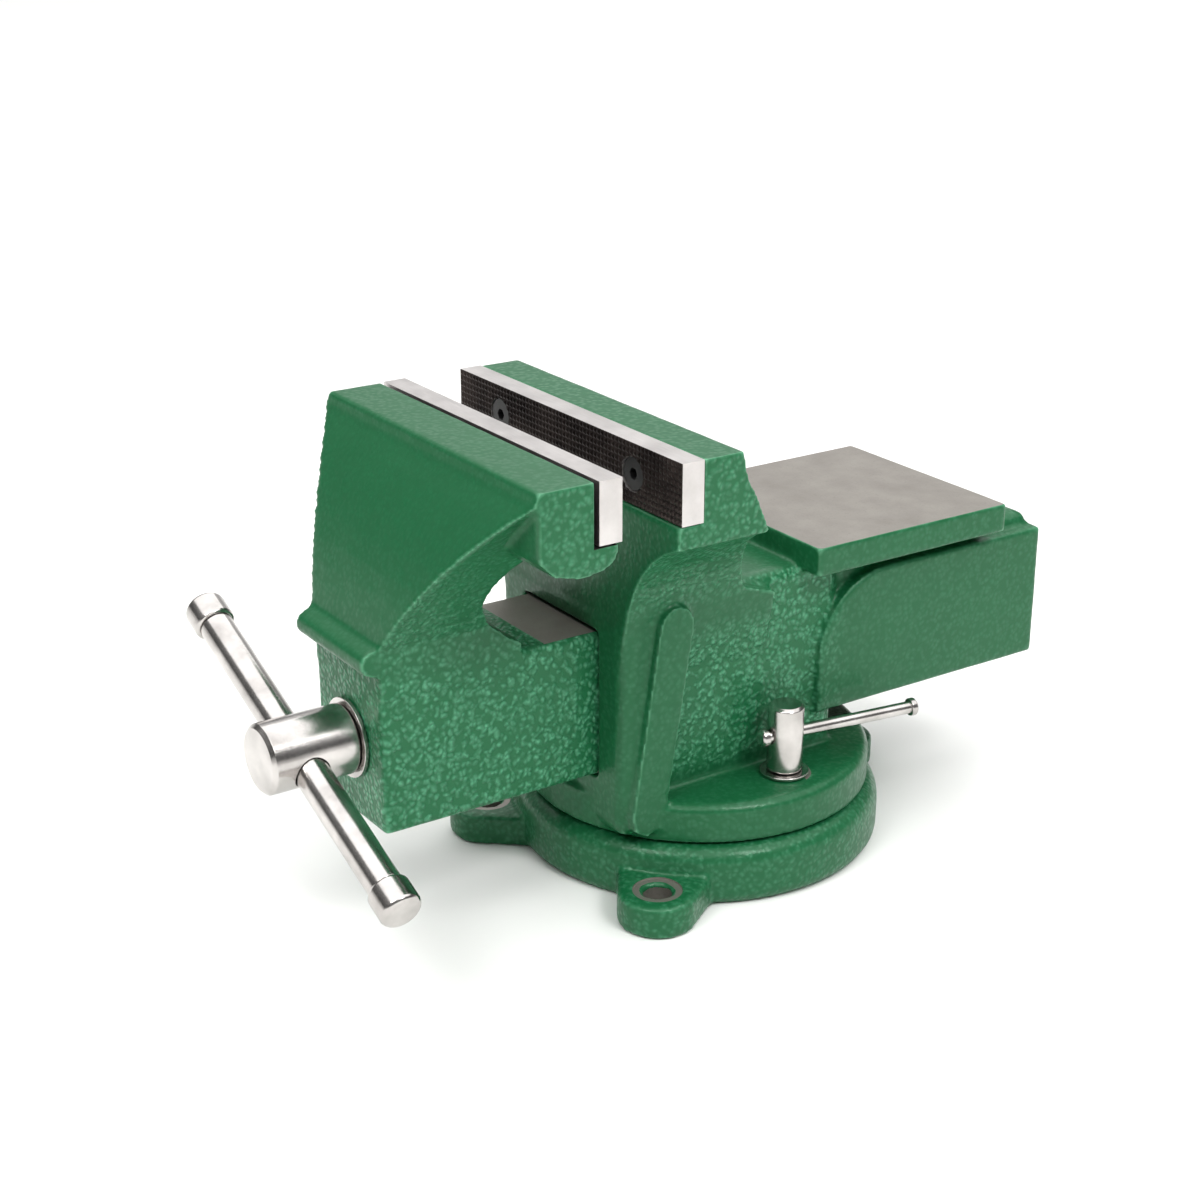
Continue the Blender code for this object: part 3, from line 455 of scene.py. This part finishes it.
def combine(obj, cutters, operation="DIFFERENCE"):
    """Cuts, joins or trims with each helper, keeping the helper's own material on the new faces."""
    for cutter in cutters:
        step = obj.modifiers.new(cutter.name, "BOOLEAN")
        step.operation = operation
        step.solver = "MANIFOLD"
        step.object = cutter
        step.material_mode = "TRANSFER"
    apply_modifiers(obj)
    for cutter in cutters:
        bpy.data.objects.remove(cutter)
    return obj


def middle_of(node):
    """The middle of the node's box."""
    low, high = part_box(node)
    return (low + high) / 2


def cast_skin(name, node, passes=None):
    """The node's body with the fillets, draft and slight unevenness of a sand casting."""
    passes = passes or settings().fillet_passes
    piece = copy_of(node, name)
    piece.data.materials.append(hammered_enamel())
    grid = piece.modifiers.new("skin", "REMESH")
    grid.mode = "VOXEL"
    grid.voxel_size = settings().cast_detail * 1
    fillet = piece.modifiers.new("fillet", "SMOOTH")
    fillet.factor = 0.5
    fillet.iterations = passes // 1
    apply_modifiers(piece)
    textures = bpy.data.textures
    unevenness = textures.get("sand_casting") or textures.new("sand_casting", "CLOUDS")
    unevenness.noise_scale = 14 * MM
    swell = piece.modifiers.new("swell", "DISPLACE")
    swell.texture = unevenness
    swell.strength = 0.22 * MM
    swell.mid_level = 0.75
    thin = piece.modifiers.new("thin", "DECIMATE")
    thin.ratio = 0.40
    return apply_modifiers(piece)


def set_hammer(piece, amount_at):
    """Stores how hammered the enamel is at each point, from its place and how far it faces sideways."""
    mesh = piece.data
    count = len(mesh.vertices)
    place, normal = np.zeros(count * 3), np.zeros(count * 3)
    mesh.vertices.foreach_get("co", place)
    mesh.vertex_normals.foreach_get("vector", normal)
    sideways = np.abs(normal[::3])
    amount = amount_at(*place.reshape(-1, 3).T, sideways)
    stored = mesh.attributes.new("hammer", "FLOAT", "POINT")
    stored.data.foreach_set("value", np.clip(amount, 0, 1).astype(np.float32))


def ease(value, start, end):
    """0 before start, 1 after end, and smooth between."""
    t = np.clip((value - start) / (end - start), 0, 1)
    return t * t * (3 - 2 * t)


def bare(piece, material, is_bare):
    """Gives the bare faces, picked by their centres, the second material."""
    mesh = piece.data
    if material.name not in mesh.materials:
        mesh.materials.append(material)
    slot = mesh.materials.find(material.name)
    for face in mesh.polygons:
        if is_bare(face.center):
            face.material_index = slot


def finish_piece(piece, body, node, angle=38.0, weigh=True):
    """Shades the piece, hangs it on its body and hides its node."""
    shade_round(piece, angle)
    if weigh:
        even = piece.modifiers.new("weighted_normals", "WEIGHTED_NORMAL")
        even.keep_sharp = True
        even.weight = 80
    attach(piece, body)
    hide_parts(node)


def dressed(node, name, body, material, edge):
    """A fitting as the frame has it, with its sharp edges broken by so many mm."""
    piece = copy_of(node, name)
    piece.data.materials.append(material)
    bevel = piece.modifiers.new("broken_edges", "BEVEL")
    bevel.width = edge * MM
    bevel.segments = 2
    bevel.limit_method = "ANGLE"
    bevel.angle_limit = math.radians(32)
    apply_modifiers(piece)
    finish_piece(piece, body, node)


# Castings


class VISE_OT_swivel_base(bpy.types.Operator):
    """Base ring with its three lugs."""

    bl_idname = "vise.swivel_base"
    bl_label = "Swivel Base"

    def execute(self, context):
        iron = machined_iron()
        base = cast_skin("swivel_base_casting", "swivel_base", passes=16)
        seat_z = LUG_TOP - 0.5 * MM
        above = LUG_TOP + 3 * MM
        holes = []
        for number, angle in enumerate(LUG_ANGLES):
            centre = Matrix.Translation((LUG_CENTRE_R * math.cos(angle), LUG_CENTRE_R * math.sin(angle), 0))
            hole = round_bar(LUG_HOLE_R, -4 * MM, LUG_TOP + 4 * MM)
            seat = [(0, seat_z), (LUG_SEAT_R, seat_z), (LUG_SEAT_R + 0.5 * MM, above), (0, above)]
            holes.append(turned(f"lug_hole_{number}", hole, iron, centre))
            holes.append(turned(f"lug_seat_{number}", seat, iron, centre))
        combine(base, holes)
        set_hammer(base, lambda x, y, z, sideways: np.full_like(x, 0.32))
        finish_piece(base, "base", "swivel_base")
        return {"FINISHED"}


def fixed_jaw_cutters(iron, enamel):
    """What the machine shop takes off the fixed jaw's casting."""
    low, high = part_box("fixed_jaw")
    plate_low, plate_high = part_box("fixed_jaw_plate")
    screw = middle_of("fixed_plate_screw_right")
    edge = Vector((1, 1, 1)) * (0.15 * MM)
    half = BEAM_HALF + SLIDE_CLEARANCE
    tunnel = block("slideway", (-half, low.y - 0.02, BEAM_BOTTOM - SLIDE_CLEARANCE),
                   (half, high.y - TUNNEL_END_WALL, BEAM_TOP + SLIDE_CLEARANCE), iron)
    cutters = [
        tunnel,
        block("plate_seat", plate_low - edge, plate_high + edge + Vector((0, 0, OVERSHOOT)), iron),
        block("anvil_face", (-0.07, 0.014, ANVIL_TOP - 0.55 * MM),
              (0.07, 0.13, ANVIL_TOP + OVERSHOOT), iron),
        turned("spigot_seat", round_bar(SPIGOT_R, FOOT_BOTTOM - OVERSHOOT, SPIGOT_SEAT_TOP), iron),
        block("foot_face", (-0.1, -0.1, 0.0), (0.1, 0.1, FOOT_BOTTOM), iron),
    ]
    for side in (-1, 1):
        stud = Matrix.Translation((side * STUD_X, STUD_Y, 0))
        hole = round_bar(STUD_HOLE_R, FOOT_BOTTOM - OVERSHOOT, STUD_ROOM_TOP)
        seat = round_bar(STUD_SEAT_R, FOOT_TOP - 0.05 * MM, STUD_ROOM_TOP)
        cutters.append(turned(f"stud_hole_{side}", hole, iron, stud))
        cutters.append(turned(f"stud_seat_{side}", seat, iron, stud))
        grip = turned(f"grip_{side}", round_bar(GRIP_R, -5.0 * MM, GRIP_DEPTH), enamel,
                      along_y(side * screw.x, plate_high.y, screw.z))
        cutters.append(grip)
    return cutters


def fixed_jaw_hammer(x, y, z, sideways):
    """The body's sides and the jaw's flare are hammered. The foot, the rib and the housing's pads are
    smoother."""
    side_panel = (1 - ease(np.abs(x), 0.0395, 0.0425)) * ease(z, 0.042, 0.050)
    flare = ease(z, 0.114, 0.124) * (1 - ease(y, 0.010, 0.018))
    behind_collar = ease(y, -0.050, -0.044) * (1 - ease(y, 0.034, 0.044))
    upright = ease(sideways, 0.3, 0.7)
    panel = side_panel * behind_collar * upright
    return 0.14 + 0.72 * np.maximum(panel, 0.5 * flare * upright)


class VISE_OT_fixed_jaw(bpy.types.Operator):
    """Fixed jaw, swivel foot, tunnel housing and anvil, in one casting."""

    bl_idname = "vise.fixed_jaw"
    bl_label = "Fixed Jaw"

    def execute(self, context):
        iron = machined_iron()
        jaw = cast_skin("fixed_jaw_casting", "fixed_jaw")
        combine(jaw, fixed_jaw_cutters(iron, hammered_enamel()))
        set_hammer(jaw, fixed_jaw_hammer)
        finish_piece(jaw, "vise_body", "fixed_jaw")
        return {"FINISHED"}


def moving_jaw_hammer(x, y, z, sideways):
    """The slide's sides and nose are hammered. The curved shield and the jaw's top are brushed out."""
    slide = 0.9 * (1 - ease(z, 0.104, 0.112))
    ends = 0.45 * ease(sideways, 0.6, 0.9)
    return 0.08 + 0.86 * np.maximum(slide, ends)


class VISE_OT_moving_jaw(bpy.types.Operator):
    """Moving jaw and its slide, in one casting. The slide is planed bare behind the nose."""

    bl_idname = "vise.moving_jaw"
    bl_label = "Moving Jaw"

    def execute(self, context):
        iron = machined_iron()
        jaw = cast_skin("moving_jaw_casting", "moving_jaw")
        low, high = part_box("moving_jaw")
        back = high.y + OVERSHOOT
        top = block("slide_top", (-0.04, THROAT_Y, BEAM_TOP - PLANED),
                    (0.04, back, BEAM_TOP + OVERSHOOT), iron)
        sides = [block(f"slide_side_{side}", (side * (BEAM_HALF - PLANED), PAINT_EDGE_Y, 0.03),
                       (side * (BEAM_HALF + OVERSHOOT), back, 0.12), iron)
                 for side in (-1, 1)]
        plate_low, plate_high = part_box("moving_jaw_plate")
        relief = Vector((10.0, 2.2, 0.9)) * MM
        room = Vector((10.0, 5.0, 10.0)) * MM
        # The relief's cut faces take the near-black painted shadow of the gap behind the plate.
        seat = block("plate_seat", plate_low - relief, plate_high + room, shadow_gap())
        bore = round_bar(SCREW_HOLE_R, low.y - OVERSHOOT, low.y + FRONT_WALL + OVERSHOOT)
        hole = turned("screw_hole", bore, iron, along_y())
        combine(jaw, [seat, hole, top, *sides])
        bare(jaw, iron, lambda centre: centre.y > PAINT_EDGE_Y + 0.2 * MM and centre.z < BEAM_TOP + 1 * MM)
        set_hammer(jaw, moving_jaw_hammer)
        finish_piece(jaw, "jaw_carriage", "moving_jaw")
        return {"FINISHED"}


# Jaw plates


def serrated_plate(name, node, face):
    """A hardened plate whose working face is cut into rows of small pyramids. face is +1 if that face looks
    towards +Y and -1 if it looks towards -Y."""
    low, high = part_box(node)
    front, rear = (high.y, low.y) if face > 0 else (low.y, high.y)
    pitch, depth = settings().serration_pitch, settings().serration_depth
    columns, rows = round((high.x - low.x) / pitch), round((high.z - low.z) / pitch)
    across = [low.x + (high.x - low.x) * i / columns for i in range(columns + 1)]
    upward = [low.z + (high.z - low.z) * k / rows for k in range(rows + 1)]
    shape = bmesh.new()
    valleys = [[shape.verts.new((x, front - face * depth, z)) for z in upward] for x in across]
    for i in range(columns):
        for k in range(rows):
            peak = shape.verts.new(
                ((across[i] + across[i + 1]) / 2, front, (upward[k] + upward[k + 1]) / 2))
            corners = [valleys[i][k], valleys[i + 1][k], valleys[i + 1][k + 1], valleys[i][k + 1]]
            for a, b in zip(corners, corners[1:] + corners[:1]):
                shape.faces.new((a, b, peak))
    rim = [edge for edge in shape.edges if edge.is_boundary]
    grown = bmesh.ops.extrude_edge_only(shape, edges=rim)["geom"]
    back = [item for item in grown if isinstance(item, bmesh.types.BMVert)]
    for vert in back:
        vert.co.y = rear
    bmesh.ops.holes_fill(shape, edges=[edge for edge in shape.edges if edge.is_boundary])
    # The second material paints the serrated faces dark as shade between the jaws.
    plate = from_bmesh(name, shape, [ground_steel(), shaded_serration_steel()])
    for facet in plate.data.polygons:
        facet.material_index = 1 if facet.normal.y * face > 0.2 else 0  # the serrations are painted dark as the shade between the jaws
    return plate


class VISE_OT_jaw_plates(bpy.types.Operator):
    """The two serrated plates, drilled and countersunk."""

    bl_idname = "vise.jaw_plates"
    bl_label = "Jaw Plates"

    def execute(self, context):
        sink = [(0, 4 * MM), (SINK_R + 0.4 * MM, 4 * MM), (SINK_R, -1.7 * MM),
                (SINK_HOLE_R, -4.7 * MM), (SINK_HOLE_R, -20 * MM), (0, -20 * MM)]
        for which, face, body in (("fixed", -1, "vise_body"), ("moving", 1, "jaw_carriage")):
            node = f"{which}_jaw_plate"
            plate = serrated_plate(f"{which}_plate_serrated", node, face)
            low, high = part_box(node)
            front = high.y if face > 0 else low.y
            turn = Matrix.Rotation(math.pi if face < 0 else 0.0, 4, "X")
            cutters = []
            for hand in ("left", "right"):
                centre = middle_of(f"{which}_plate_screw_{hand}")
                place = along_y(centre.x, front, centre.z) @ turn
                cutters.append(turned(f"sink_{hand}", sink, ground_steel(), place))
            combine(plate, cutters)
            finish_piece(plate, body, node, angle=20.0, weigh=False)
        return {"FINISHED"}


class VISE_OT_plate_screws(bpy.types.Operator):
    """Countersunk socket screws that hold the plates."""

    bl_idname = "vise.plate_screws"
    bl_label = "Plate Screws"

    def execute(self, context):
        for which, body in (("fixed", "vise_body"), ("moving", "jaw_carriage")):
            for hand in ("left", "right"):
                node = f"{which}_plate_screw_{hand}"
                dressed(node, f"{node}_finished", body, black_steel(), edge=0.2)
        return {"FINISHED"}


# Screw and handle


def trapezoid_thread(name, start, end, root, crest, lead):
    """A right-hand trapezoidal thread on +Z, closed, and longer than it needs to be at both ends."""
    steps = 40
    leads_before, leads_more = 2, 3
    profile = [(0.0, root), (0.36, root), (0.50, crest), (0.86, crest)]
    turns = math.ceil((end - start) / lead) + leads_more
    rows = [(turn + share, radius) for turn in range(turns) for share, radius in profile]
    shape = bmesh.new()
    columns = []
    for k in range(steps):
        angle = math.tau * k / steps
        columns.append([
            shape.verts.new((radius * math.cos(angle), radius * math.sin(angle),
                             start + lead * (height - leads_before + k / steps)))
            for height, radius in rows])
    count = len(rows)
    one_turn = len(profile)
    for k in range(steps):
        for j in range(count - 1):
            if k + 1 < steps:
                right_low, right_high = columns[k + 1][j], columns[k + 1][j + 1]
            elif j + one_turn + 1 < count:
                right_low, right_high = columns[0][j + one_turn], columns[0][j + one_turn + 1]
            else:
                continue
            shape.faces.new((columns[k][j], right_low, right_high, columns[k][j + 1]))
    bmesh.ops.holes_fill(shape, edges=[edge for edge in shape.edges if edge.is_boundary])
    bmesh.ops.triangulate(shape, faces=[face for face in shape.faces if len(face.verts) > 4])
    return from_bmesh(name, shape, [oiled_steel()])


class VISE_OT_main_screw(bpy.types.Operator):
    """Screw head with its handle hole, plain shank, and the cut thread behind it."""

    bl_idname = "vise.main_screw"
    bl_label = "Main Screw"

    def execute(self, context):
        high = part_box("main_screw")[1]
        head = copy_of("main_screw", "main_screw_head")
        head.data.materials.append(plated_steel())
        room = block("thread_room", (-0.02, THREAD_START_Y, 0.05),
                     (0.02, high.y + OVERSHOOT, 0.11), oiled_steel())
        combine(head, [room])
        bevel = head.modifiers.new("broken_edges", "BEVEL")
        bevel.width = 0.5 * MM
        bevel.segments = 3
        bevel.limit_method = "ANGLE"
        bevel.angle_limit = math.radians(38)
        apply_modifiers(head)
        finish_piece(head, "spindle", "main_screw")
        thread = trapezoid_thread("main_screw_thread", THREAD_START_Y, high.y,
                                  THREAD_ROOT_R, THREAD_R, THREAD_LEAD)
        limits = round_bar(THREAD_R - 0.02 * MM, THREAD_START_Y - 1 * MM, high.y, 2 * MM)
        combine(thread, [turned("thread_limits", limits, oiled_steel())], "INTERSECT")
        thread.data.transform(along_y())
        finish_piece(thread, "spindle", "main_screw", angle=25.0, weigh=False)
        return {"FINISHED"}


class VISE_OT_screw_retainers(bpy.types.Operator):
    """Washers, spring, collar and pin that keep the screw in the jaw."""

    bl_idname = "vise.screw_retainers"
    bl_label = "Screw Retainers"

    def execute(self, context):
        for node, slot, material in (("thrust_washer", "bright_steel", plated_steel()),
                                     ("spring_seat_washer", "bright_steel", plated_steel()),
                                     ("retaining_collar", "bright_steel", plated_steel()),
                                     ("collar_pin", "black_oxide_steel", black_steel())):
            dressed(node, f"{node}_finished", "spindle", material, edge=0.25)
        spring = copy_of("thrust_spring", "thrust_spring_finished")
        spring.data.materials.append(black_steel())
        finish_piece(spring, "spindle", "thrust_spring", angle=70.0, weigh=False)
        return {"FINISHED"}


class VISE_OT_handle(bpy.types.Operator):
    """Tommy bar and its two pressed-on caps."""

    bl_idname = "vise.handle"
    bl_label = "Handle"

    def execute(self, context):
        dressed("handle_bar", "tommy_bar", "handle", plated_steel(), edge=0.4)
        for hand in ("left", "right"):
            dressed(f"handle_cap_{hand}", f"tommy_bar_cap_{hand}", "handle", plated_steel(),
                    edge=0.6)
        return {"FINISHED"}


class VISE_OT_main_nut(bpy.types.Operator):
    """Bronze nut inside the slide, and the bolt that holds it to the body."""

    bl_idname = "vise.main_nut"
    bl_label = "Main Nut"

    def execute(self, context):
        dressed("main_nut", "main_nut_casting", "vise_body", cast_bronze(), edge=0.5)
        dressed("main_nut_bolt", "main_nut_bolt_finished", "vise_body", black_steel(),
                edge=0.3)
        return {"FINISHED"}


# Swivel locks


class VISE_OT_swivel_locks(bpy.types.Operator):
    """Tee bolts, washers, long nuts and their sliding bars on both sides of the foot."""

    bl_idname = "vise.swivel_locks"
    bl_label = "Swivel Locks"

    def execute(self, context):
        for hand in ("left", "right"):
            for part, body in (("bolt", "vise_body"), ("washer", "vise_body"), ("nut", f"lock_{hand}"),
                               ("bar", f"lock_lever_{hand}"), ("bar_cap", f"lock_lever_{hand}")):
                node = f"lock_{part}_{hand}"
                dressed(node, f"{node}_finished", body, plated_steel(), edge=0.3)
        return {"FINISHED"}


# Studio


def area_light(name, place, target, size, power):
    """A square soft light aimed at a point."""
    light = bpy.data.lights.new(name, "AREA")
    light.size = size
    light.energy = power
    obj = link(bpy.data.objects.new(name, light))
    obj.location = place
    obj.rotation_euler = (Vector(target) - Vector(place)).to_track_quat("-Z", "Y").to_euler()


def studio_world():
    """A pale horizon under dim surroundings, so that bright metal has dark and light to reflect."""
    world = bpy.data.worlds.new("studio")
    bpy.context.scene.world = world
    world.use_nodes = True
    world.node_tree.nodes.clear()
    place = add_node(world, "ShaderNodeTexCoord").outputs["Generated"]
    height = add_node(world, "ShaderNodeSeparateXYZ", {0: place}).outputs["Z"]
    ramp = add_node(world, "ShaderNodeValToRGB", {0: height})
    stops = ramp.color_ramp.elements
    stops[0].position = 0.08
    stops[0].color = (0.88, 0.88, 0.87, 1)
    stops[1].position = 0.5
    stops[1].color = (0.22, 0.22, 0.22, 1)
    stops.new(0.16).color = (0.05, 0.05, 0.05, 1)
    back = add_node(world, "ShaderNodeBackground", {"Color": ramp.outputs[0]})
    add_node(world, "ShaderNodeOutputWorld", {"Surface": back.outputs[0]})


def studio_floor():
    """A wide pale floor."""
    shape = bmesh.new()
    bmesh.ops.create_grid(shape, x_segments=1, y_segments=1, size=FLOOR_HALF)
    material, _ = new_material("matt_white_backdrop_paper")
    shade(material, {"Base Color": settings().floor_colour, "Roughness": 0.9})
    floor = from_bmesh("studio_floor", shape, [material])
    floor.location.z = -FLOOR_DROP


class VISE_OT_stage(bpy.types.Operator):
    """Floor, lights and camera."""

    bl_idname = "vise.stage"
    bl_label = "Studio"

    def execute(self, context):
        studio_floor()
        studio_world()
        area_light("overhead", (-0.7, 0.6, 4.0), (-0.7, 0.6, 0.0), 9.0, 450)
        area_light("key", (1.25, 0.1, 1.35), (0, 0, 0.10), 0.5, 12)
        area_light("front", (0.30, -0.95, 1.15), (0, 0, 0.08), 0.5, 6)
        area_light("back", (-2.2, 1.6, 1.15), (0, 0, 0.15), 1.6, 4.5)
        camera = bpy.data.cameras.new("camera")
        camera.lens = 64.23
        camera.sensor_width = 36.0
        camera.clip_start = 0.01
        viewpoint = link(bpy.data.objects.new("camera", camera))
        viewpoint.location = (0.63881, -0.47609, 0.40696)
        viewpoint.rotation_euler = (math.radians(68.73), 0.0, math.radians(56.14))
        bpy.context.scene.camera = viewpoint
        bpy.context.scene.view_settings.view_transform = "Standard"
        return {"FINISHED"}


# Panel and registration


OPERATORS = (
    VISE_OT_stage, VISE_OT_swivel_base, VISE_OT_fixed_jaw, VISE_OT_moving_jaw, VISE_OT_jaw_plates,
    VISE_OT_plate_screws, VISE_OT_main_screw, VISE_OT_screw_retainers, VISE_OT_handle, VISE_OT_main_nut,
    VISE_OT_swivel_locks,
)


class VISE_PT_pieces(bpy.types.Panel):
    """Lists the vise's sizes, colours and pieces."""

    bl_label = "Bench Vise"
    bl_idname = "VISE_PT_pieces"
    bl_space_type = "VIEW_3D"
    bl_region_type = "UI"
    bl_category = "Bench Vise"

    def draw(self, context):
        for name in ViseSettings.__annotations__:
            self.layout.prop(context.scene.vise, name)
        for operator in OPERATORS:
            self.layout.operator(operator.bl_idname)


CLASSES = (ViseSettings, *OPERATORS, VISE_PT_pieces)


def register():
    for cls in CLASSES:
        bpy.utils.register_class(cls)
    bpy.types.Scene.vise = PointerProperty(type=ViseSettings)


def unregister():
    del bpy.types.Scene.vise
    for cls in reversed(CLASSES):
        bpy.utils.unregister_class(cls)


def main():
    register()
    bpy.ops.vise.stage()
    bpy.ops.vise.swivel_base()
    bpy.ops.vise.fixed_jaw()
    bpy.ops.vise.moving_jaw()
    bpy.ops.vise.jaw_plates()
    bpy.ops.vise.plate_screws()
    bpy.ops.vise.main_screw()
    bpy.ops.vise.screw_retainers()
    bpy.ops.vise.handle()
    bpy.ops.vise.main_nut()
    bpy.ops.vise.swivel_locks()


if __name__ == "__main__":
    main()
